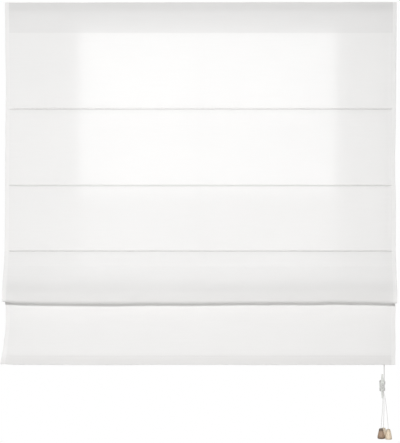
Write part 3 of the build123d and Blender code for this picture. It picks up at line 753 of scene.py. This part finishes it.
# How much the nose hangs above or below its mean height, at places along the blind
NOSE_LINE = (
    (-0.76, 0.0045), (-0.68, 0.0010), (-0.55, -0.0012), (-0.35, -0.0014), (-0.10, -0.0004),
    (0.20, 0.0), (0.40, 0.0010), (0.51, 0.0040), (0.60, 0.0016), (0.76, -0.0024),
)
fold_front = cloth_low[1] + CLOTH
fold_reach = face_ys[2] - fold_front
fold_bottom = rod_zs[2] - FOLD_DROP + HALF_CLOTH
fold_line = folded_line(
    tuck(2, -1)
    + [
        (face_ys[2] - SHOULDER[0] * fold_reach, rod_zs[2] - SHOULDER[1] * FOLD_DROP),
        (fold_front, rod_zs[2] - CHEST * FOLD_DROP),
        (fold_front, fold_bottom),
        (fold_front + FOLD_THICKNESS, fold_bottom),
        (face_ys[3] - TUCK_DEPTH, rod_zs[3] + HALF_CLOTH),
        (tuck_ys[3], rod_zs[3] + HALF_CLOTH),
    ],
    [TUCK_ROUND, SHOULDER_ROUND, CHEST_ROUND, NOSE_ROUND, NOSE_ROUND, ROD_ROUND],
)
nose = min(range(len(fold_line)), key=lambda k: fold_line[k].y)
front_line = fold_line[: nose + 1]
back_line = fold_line[nose:]
front_flat = untucked(front_line, rod_zs[2], face_ys[2])


def fold_push(x, z, share):
    """The fold sags a little unevenly along its length, most at the nose."""
    drop = min(1, max(0, (rod_zs[2] - z) / FOLD_DROP))
    slow = noise.noise(Vector((x * 2.3, 1.7, 8.0)))
    quick = noise.noise(Vector((x * 8.0, z * 5.0, 4.0)))
    return drop * drop * (FOLD_SAG * slow + FOLD_WAVE * quick)


def back_push(x, z, share):
    """The back leg follows the nose and is held at the rod."""
    return fold_push(x, z, share) * (1 - share) ** 2


fold_front_leg = hang("cloth_fold_front", front_line, front_flat, fold_push)
fold_back_leg = hang("cloth_fold_back", back_line, back_line, back_push)
for leg, end_z in ((fold_front_leg, rod_zs[2]), (fold_back_leg, rod_zs[3])):
    for vert in leg.data.vertices:
        sag = min(1, max(0, (end_z - vert.co.z) / (end_z - fold_bottom)))
        vert.co.z += smooth_line(NOSE_LINE, vert.co.x) * sag * sag
nose_z = fold_line[nose].y
front_end = rod_zs[2] - (rod_zs[2] - nose_z) / NOSE_WEIGHT
back_start = rod_zs[3] - (rod_zs[3] - nose_z) / (1 - NOSE_WEIGHT)
leg_spans = (
    (fold_front_leg, face_ys[2], rod_zs[2], front_end),
    (fold_back_leg, face_ys[3], back_start, rod_zs[3]),
)
for leg, leg_y, leg_top, leg_bottom in leg_spans:
    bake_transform(leg)


# Tail: the last stretch of the cloth, below rod 4. It leans forward off the fold behind it and
# ends in a pocket, turned to the back and stitched, in which the flat bar lies.
HEM_HEIGHT = 0.032
HEM_CLOSE = 0.0010
HEM_TAPER = 0.004
HEM_JOIN = 0.001
HEM_EDGE = 0.006
HEM_CORNER = 0.0020
TAIL_BEND = 0.2
SWAY_START = 0.05
SWAY_END = 0.08
TAIL_SWAY = 0.0022
FOOT_WAVE = 0.0014
CORNER_START = 0.728
CORNER_WIDTH = 0.022
CORNER_FORWARD = 0.010
CORNER_CURL = 0.004
hem_depth = high("bottom_bar")[1] - low("bottom_bar")[1] + 2 * SEAT_GAP + CLOTH
hem_y = middle_of("bottom_bar").y - hem_depth / 2
hem_bottom = tail_z + HALF_CLOTH
hem_top = hem_bottom + HEM_HEIGHT
tail_line = folded_line(
    [
        (tuck_ys[3], rod_zs[3] - HALF_CLOTH),
        (face_ys[3], rod_zs[3] - HALF_CLOTH),
        (face_ys[3], (rod_zs[3] + tail_z) / 2),
        (hem_y, tail_z + 2 * HEM_HEIGHT),
        (hem_y, hem_bottom),
        (hem_y + hem_depth, hem_bottom),
        (hem_y + hem_depth, hem_top - HEM_TAPER),
        (hem_y + HEM_CLOSE, hem_top + HEM_JOIN),
        (hem_y + HEM_CLOSE, hem_top + HEM_EDGE),
    ],
    [TUCK_ROUND, TAIL_BEND, TAIL_BEND] + [HEM_CORNER] * 4,
)
tail_flat = untucked(tail_line, rod_zs[3], face_ys[3])


def tail_push(x, z, share):
    """The tail waves half way down, and is still at the rod and at the hem."""
    below_rod = min(1, max(0, (rod_zs[3] - z) / SWAY_START))
    above_hem = min(1, max(0, (z - hem_top) / SWAY_END))
    return TAIL_SWAY * noise.noise(Vector((x * 2.6, z * 4.0, 11.0))) * below_rod * above_hem


tail = hang("cloth_tail", tail_line, tail_flat, tail_push, pocket_top=hem_top)
# The foot isn't quite level, and its left corner stands forward and curls up a little
for vert in tail.data.vertices:
    foot = min(1, max(0, (tail_z + SWAY_END - vert.co.z) / SWAY_END))
    beyond = max(0, -vert.co.x - CORNER_START) / CORNER_WIDTH
    wave = FOOT_WAVE * noise.noise(Vector((vert.co.x * 4.0, 0.5, 5.0)))
    vert.co.y -= CORNER_FORWARD * beyond * beyond * foot
    vert.co.z += (wave + CORNER_CURL * beyond) * foot
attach(tail, "rod_4")


# Rod pockets: the same cloth sewn behind each tuck into a tunnel, closed round its rod between
# the side hems.
POCKET_END = 0.735
POCKET_SEAM = math.radians(12)
POCKET_STEPS = 20
for number, rod in enumerate(rod_centres, start=1):
    name = f"rod_pocket_{number}"
    mesh = bpy.data.meshes.new(name)
    bm = bmesh.new()
    rings = []
    parts = round(2 * POCKET_END / COLUMN_STEP)
    for part in range(parts + 1):
        x = POCKET_END * (2 * part / parts - 1)
        ring = []
        for step in range(POCKET_STEPS + 1):
            turned = (2 * math.pi - POCKET_SEAM) * step / POCKET_STEPS
            angle = POCKET_SEAM / 2 - math.pi + turned
            y = rod.y + pocket_radius * math.cos(angle)
            z = rod.z - pocket_radius * math.sin(angle)
            ring.append(bm.verts.new((x, y, z)))
        rings.append(ring)
    for first, second in zip(rings, rings[1:]):
        for a, b, c, d in zip(first, first[1:], second[1:], second):
            bm.faces.new((a, b, c, d))
    bm.normal_update()
    bm.to_mesh(mesh)
    bm.free()
    pocket = link_piece(name, mesh, face_cloth)
    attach(pocket, f"rod_{number}")
    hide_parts("fabric")
cloth_pieces = [(panel, length) for panel, _, _, length, _ in panels]
cloth_pieces += [(fold_front_leg, line_length(front_line)), (fold_back_leg, line_length(back_line))]
cloth_pieces += [(tail, line_length(tail_line))]
carried_by = ["hook_tape", "rod_1", "rod_2", "rod_3", "rod_4", "rod_4"]
for (piece, length), carrier in zip(cloth_pieces, carried_by):
    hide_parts("fabric")


# Seams: a row of thread stitches that holds the tape to the header, and one that closes the
# pocket of the hem, both sewn through the cloth.
STITCH_PITCH = 0.0042
STITCH_LENGTH = 0.0030
STITCH_HALF = 0.732
STITCH_SINK = 0.0006
HEADER_STITCH_LIFT = 0.0001
THREAD_RADIUS = 0.00028
THREAD_SIDES = 6
THREAD_SHADE = (0.62, 0.615, 0.61)
thread_finish = coated("sewing_thread", THREAD_SHADE, 0.6, 3000, 0.00002)


def stitched_row(name, y, z, half_length, body):
    """A row of short stitches across the cloth."""
    mesh = bpy.data.meshes.new(name)
    bm = bmesh.new()
    count = round(2 * half_length / STITCH_PITCH)
    for number in range(count):
        x = -half_length + STITCH_PITCH * (number + 0.5)
        rings = []
        for share in (-0.5, -0.3, 0.3, 0.5):
            sunk = STITCH_SINK if abs(share) > 0.4 else 0.0
            ring = []
            for step in range(THREAD_SIDES):
                angle = 2 * math.pi / THREAD_SIDES * step
                thread_y = y + sunk + THREAD_RADIUS * math.cos(angle)
                thread_z = z + THREAD_RADIUS * math.sin(angle)
                ring.append(bm.verts.new((x + share * STITCH_LENGTH, thread_y, thread_z)))
            rings.append(ring)
        skin(bm, rings)
        bm.faces.new(rings[0][::-1])
        bm.faces.new(rings[-1])
    bmesh.ops.recalc_face_normals(bm, faces=bm.faces)
    bm.to_mesh(mesh)
    bm.free()
    row = link_piece(name, mesh, thread_finish)
    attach(row, body)


header_seam_y = header_y - HEADER_STITCH_LIFT + SEAM_DENT
hem_seam_z = hem_top + 2 * HEM_JOIN
stitched_row("header_stitches", header_seam_y, SEAM_Z, STITCH_HALF, "headrail")
stitched_row("hem_stitches", hem_y - THREAD_RADIUS / 2, hem_seam_z, STITCH_HALF, "rod_4")


# Cord pulls: turned beech bells with a thin clear varnish, bored for the cord, whose knot sits in
# the wider bore below. They hang together in a bunch.

# Light wood, dark wood, and how much painted shade darkens the neck and the foot. The left
# bell's tones are partly darker wood and partly painted shade; the centre bell's are painted
# lighter, painted light against the shadow of the two bells in front of it
BEECH_TONES_AND_PAINTED_LIGHT = {
    "left": ((0.46, 0.32, 0.22), (0.15, 0.10, 0.065), 0.62),
    "centre": ((0.88, 0.77, 0.62), (0.70, 0.57, 0.43), 0.12),
    "right": ((0.84, 0.72, 0.56), (0.68, 0.55, 0.40), 0.16),
}


def beech(name, light, dark, painted_end_shade):
    """Beech along and across the grain: growth rings, short darker flecks, painted shade at neck
    and foot.
    """
    finish, nodes, wires, shader, where = new_finish(name)
    along = place(nodes, "ShaderNodeMapping")
    along.inputs["Scale"].default_value = (1, 1, 0.12)
    rings = place(nodes, "ShaderNodeTexWave", bands_direction="X", Scale=110.0, Detail=3.0)
    rings.inputs["Distortion"].default_value = 5.0
    fleck = place(nodes, "ShaderNodeTexNoise", Scale=1500.0, Detail=3.0)
    wires.new(where.outputs["Object"], along.inputs["Vector"])
    wires.new(along.outputs[0], rings.inputs["Vector"])
    wires.new(along.outputs[0], fleck.inputs["Vector"])
    blend = place(nodes, "ShaderNodeMath", operation="MULTIPLY_ADD")
    blend.inputs[1].default_value = 0.45
    wires.new(fleck.outputs[0], blend.inputs[0])
    wires.new(rings.outputs["Fac"], blend.inputs[2])
    tone = nodes.new("ShaderNodeValToRGB")
    tone.color_ramp.elements[0].position = 0.15
    tone.color_ramp.elements[0].color = (*dark, 1)
    tone.color_ramp.elements[1].position = 0.75
    tone.color_ramp.elements[1].color = (*light, 1)
    wires.new(blend.outputs[0], tone.inputs[0])
    # Painted shade: the neck and the foot are darkened by height, where the bell turns away from
    # the light
    height = nodes.new("ShaderNodeSeparateXYZ")
    wires.new(where.outputs["Generated"], height.inputs[0])
    ends = nodes.new("ShaderNodeValToRGB")
    ends.color_ramp.elements[0].position = 0.04
    ends.color_ramp.elements[1].position = 0.26
    ends.color_ramp.elements.new(0.70)
    ends.color_ramp.elements.new(0.84)
    for element, shade in zip(ends.color_ramp.elements, (1 - painted_end_shade, 1, 1, 1 - painted_end_shade)):
        element.color = (shade, shade, shade, 1)
    wires.new(height.outputs["Z"], ends.inputs[0])
    darken = place(nodes, "ShaderNodeMix", data_type="RGBA", blend_type="MULTIPLY")
    darken.inputs["Factor"].default_value = 1.0
    wires.new(tone.outputs[0], darken.inputs[6])
    wires.new(ends.outputs[0], darken.inputs[7])
    wires.new(darken.outputs[2], shader.inputs["Base Color"])
    gloss = place(nodes, "ShaderNodeMapRange")
    gloss.inputs["To Min"].default_value = 0.34
    gloss.inputs["To Max"].default_value = 0.52
    wires.new(fleck.outputs[0], gloss.inputs["Value"])
    wires.new(gloss.outputs[0], shader.inputs["Roughness"])
    relief = place(nodes, "ShaderNodeBump", Strength=0.35, Distance=0.0001)
    wires.new(fleck.outputs[0], relief.inputs["Height"])
    wires.new(relief.outputs[0], shader.inputs["Normal"])
    return finish


PULL_BORE = 0.0016
BORE_BREAK = 0.0006
PULL_KNOT_BORE = 0.0036
PULL_KNOT_DEPTH = 0.007
# Radius and height of the bell's outline as shares of its foot radius and its height
PULL_SHAPE = (
    (0.955, 0.0), (0.99, 0.018), (1.0, 0.05), (1.0, 0.12), (0.985, 0.20), (0.945, 0.30),
    (0.885, 0.41), (0.815, 0.52), (0.745, 0.63), (0.680, 0.73), (0.625, 0.82), (0.585, 0.89),
    (0.555, 0.94), (0.50, 0.975), (0.41, 0.995), (0.30, 1.0),
)


def turned_pull(name, x, y, bottom, radius, height, wood, around=56):
    """A bell turned about its cord bore."""
    outline = [(PULL_KNOT_BORE, 0.0)] + [(r * radius, h * height) for r, h in PULL_SHAPE]
    outline += [(PULL_BORE + BORE_BREAK, height), (PULL_BORE, height - BORE_BREAK)]
    outline += [(PULL_BORE, PULL_KNOT_DEPTH), (PULL_KNOT_BORE, PULL_KNOT_DEPTH)]
    mesh = bpy.data.meshes.new(name)
    bm = bmesh.new()
    rings = []
    for r, h in outline:
        ring = []
        for step in range(around):
            angle = 2 * math.pi * step / around
            spot = (x + r * math.cos(angle), y + r * math.sin(angle), bottom + h)
            ring.append(bm.verts.new(spot))
        rings.append(ring)
    rings.append(rings[0])
    skin(bm, rings)
    bmesh.ops.recalc_face_normals(bm, faces=bm.faces)
    bm.to_mesh(mesh)
    bm.free()
    pull = link_piece(name, mesh, wood)
    crisp = pull.modifiers.new("crisp_edges", "EDGE_SPLIT")
    crisp.split_angle = math.radians(40)
    return pull


for side in SIDES:
    node = f"cord_pull_{side}"
    spot = middle_of(node)
    size = Vector(high(node)) - Vector(low(node))
    wood = beech(f"beech_{side}", *BEECH_TONES_AND_PAINTED_LIGHT[side])
    name = f"turned_pull_{side}"
    pull = turned_pull(name, spot.x, spot.y, low(node)[2], size.x / 2, size.z, wood)
    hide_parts(node)
    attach(pull, "headrail")


# Pull cords: the three cords hang tight from the outlet, wind together on the cleat in a figure of
# eight, and end in the pulls. The winding lies as ribbons of three cords, one over the other.
CLEAT_X = 0.6985
CLEAT_Z = -1.4265
CORD_Y = -0.01415
EXIT_Z = 0.01165
outlet_xs = {"left": 0.717, "centre": 0.705, "right": 0.693}
ARRIVAL_X = 0.7065
arrival_depths = {"left": 0.0120, "centre": 0.0100, "right": 0.0080}
leave_xs = {"left": 0.7015, "centre": 0.7045, "right": 0.7075}
WINDING_TOP_Z = CLEAT_Z + 0.0165
LEAVE_DEPTH = 0.0262
LEAVE_STEP = 0.0004
LEAVE_DROP = 0.030
ARRIVAL_LEAD = 0.012
PULL_LEAD = 0.008
LEAD_LEAN = 0.06
PULL_KNOT_RADIUS = 0.0029
WINDING_TURNS = 2
STOPS_SHORT = 0.42
TURN_POINTS = 16
LOOP_HALF_WIDTH = 0.0092
LOOP_REACH = 0.0195
LOOP_SHIFT = 0.0005
LAYER = 0.0019
CROSSING_DEPTH = 0.0222
HORN_BACK_DEPTH = 0.0102
RIBBON_PITCH = 0.0023
FIRST_TURN = 1.30 * math.pi
TOP_LAYER = 3.0
HORN_ROUNDNESS = 0.8
KNOT_RELIEF = 0.10
KNOT_LAY = 4.5
KNOT_STRANDS = 4
for order, side in enumerate(SIDES):
    pull_low = low(f"cord_pull_{side}")
    pull_high = high(f"cord_pull_{side}")
    pull_x = (pull_low[0] + pull_high[0]) / 2
    pull_y = (pull_low[1] + pull_high[1]) / 2
    ceiling = pull_low[2] + PULL_KNOT_DEPTH
    knot_z = ceiling - SEAT_GAP - PULL_KNOT_RADIUS
    exit_point = (outlet_xs[side], CORD_Y, EXIT_Z)
    arrival = (ARRIVAL_X, -arrival_depths[side], WINDING_TOP_Z + ARRIVAL_LEAD)
    route = [exit_point, arrival]
    beside = (order - 1) * RIBBON_PITCH
    # From the lower horn's back, round both horns in turn, as far as the front crossing
    sweep_angle = (2 * WINDING_TURNS - STOPS_SHORT) * math.pi
    count = round(TURN_POINTS * sweep_angle / (2 * math.pi))
    for step in range(count + 1):
        angle = FIRST_TURN + sweep_angle * step / count
        layer_number = min(TOP_LAYER, (angle - FIRST_TURN) / math.pi)
        sideways = (LOOP_HALF_WIDTH + 0.5 * LAYER * layer_number) * math.sin(2 * angle)
        reach = LOOP_REACH * math.sin(angle)
        deep = HORN_BACK_DEPTH - 0.5 * LAYER * layer_number
        proud = CROSSING_DEPTH + LAYER * layer_number
        depth = proud - (proud - deep) * abs(math.sin(angle)) ** HORN_ROUNDNESS
        route.append((CLEAT_X + sideways + LOOP_SHIFT, -depth, CLEAT_Z + reach - beside))
    route.append((leave_xs[side], -LEAVE_DEPTH - LEAVE_STEP * order, CLEAT_Z - LEAVE_DROP))
    lead_x = pull_x + (leave_xs[side] - pull_x) * LEAD_LEAN
    route.append((lead_x, pull_y, pull_high[2] + PULL_LEAD))
    route.append((pull_x, pull_y, pull_high[2]))
    route.append((pull_x, pull_y, knot_z))
    curve = bpy.data.curves.new(f"pull_cord_{side}", "CURVE")
    curve.dimensions = "3D"
    curve.bevel_depth = CORD_DIAMETER / 2
    curve.bevel_resolution = 2
    curve.resolution_u = 8
    curve.use_fill_caps = True
    line = curve.splines.new("NURBS")
    line.points.add(len(route) - 1)
    for knot, point in zip(line.points, route):
        knot.co = (*point, 1)
    line.order_u = 3
    line.use_endpoint_u = True
    cord = bpy.data.objects.new(f"free_cord_{side}", curve)
    bpy.context.collection.objects.link(cord)
    curve.materials.append(cord_braid)
    ball_mesh = bpy.data.meshes.new(f"end_knot_{side}")
    bm = bmesh.new()
    bmesh.ops.create_icosphere(bm, subdivisions=3, radius=PULL_KNOT_RADIUS)
    for vert in bm.verts:
        around_knot = KNOT_STRANDS * math.atan2(vert.co.y, vert.co.x)
        lay_angle = KNOT_LAY * vert.co.z / PULL_KNOT_RADIUS + around_knot
        vert.co *= 1 - KNOT_RELIEF + KNOT_RELIEF * math.sin(lay_angle)
        vert.co += Vector((pull_x, pull_y, knot_z))
    bm.to_mesh(ball_mesh)
    bm.free()
    knot_ball = link_piece(f"end_knot_{side}", ball_mesh, cord_braid)
    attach(knot_ball, "headrail")
    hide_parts(f"pull_cord_{side}", f"cord_end_{side}", "cord_winding")
    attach(cord, "headrail")
    length = sum((Vector(b) - Vector(a)).length for a, b in zip(route, route[1:]))
